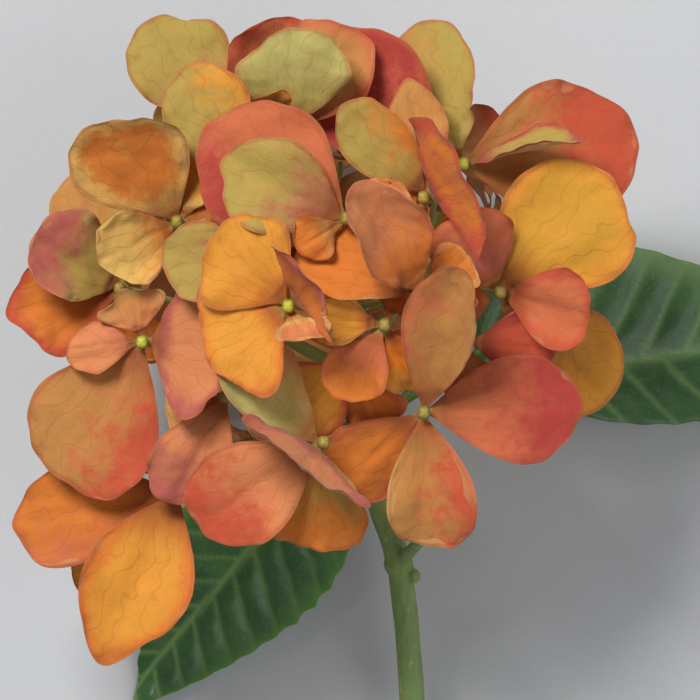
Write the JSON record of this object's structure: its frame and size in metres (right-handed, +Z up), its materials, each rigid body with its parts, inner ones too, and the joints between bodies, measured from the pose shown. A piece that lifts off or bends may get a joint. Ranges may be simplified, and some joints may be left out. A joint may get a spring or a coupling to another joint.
{
  "type": "cut hydrangea",
  "caption": "Cut hydrangea lying on its side: a domed head of four-sepalled orange and tan florets on thin stalks, two toothed green leaves and a bare cut stem.",
  "frame": {"origin": "middle of the footprint, on the surface that the flower lies on", "axes": "+Z up from the surface, +Y from the cut end of the stem towards the top of the head, +X to the right as seen from above"},
  "size_m": [0.2332, 0.3036, 0.1194],
  "materials": {
    "sepal": "matte",
    "bud": "satin",
    "leaf": "satin",
    "stem": "satin"
  },
  "bodies": {
    "root": {"bud_back_left": "bud", "bud_back_middle": "bud", "bud_back_top": "bud", "bud_below_centre": "bud", "bud_centre": "bud", "bud_crown_left": "bud", "bud_crown_middle": "bud", "bud_crown_right": "bud", "bud_cupped_left": "bud", "bud_curled": "bud", "bud_drooping_left": "bud", "bud_folded_right": "bud", "bud_inner_left": "bud", "bud_inner_low_right": "bud", "bud_inner_right": "bud", "bud_inner_top_left": "bud", "bud_left": "bud", "bud_left_eye": "bud", "bud_low_middle": "bud", "bud_low_right": "bud", "bud_right": "bud", "bud_side_left": "bud", "bud_side_low": "bud", "bud_side_right": "bud", "bud_side_top": "bud", "bud_top_middle": "bud", "bud_top_right_eye": "bud", "bud_upper_left": "bud", "leaf_left": "leaf", "leaf_right": "leaf", "sepals_back_left": "sepal", "sepals_back_middle": "sepal", "sepals_back_top": "sepal", "sepals_below_centre": "sepal", "sepals_centre": "sepal", "sepals_crown_left": "sepal", "sepals_crown_middle": "sepal", "sepals_crown_right": "sepal", "sepals_cupped_left": "sepal", "sepals_curled": "sepal", "sepals_drooping_left": "sepal", "sepals_folded_right": "sepal", "sepals_inner_left": "sepal", "sepals_inner_low_right": "sepal", "sepals_inner_right": "sepal", "sepals_inner_top_left": "sepal", "sepals_left": "sepal", "sepals_left_eye": "sepal", "sepals_low_middle": "sepal", "sepals_low_right": "sepal", "sepals_right": "sepal", "sepals_side_left": "sepal", "sepals_side_low": "sepal", "sepals_side_right": "sepal", "sepals_side_top": "sepal", "sepals_top_middle": "sepal", "sepals_top_right_eye": "sepal", "sepals_upper_left": "sepal", "stem": "stem"}
  },
  "joints": []
}
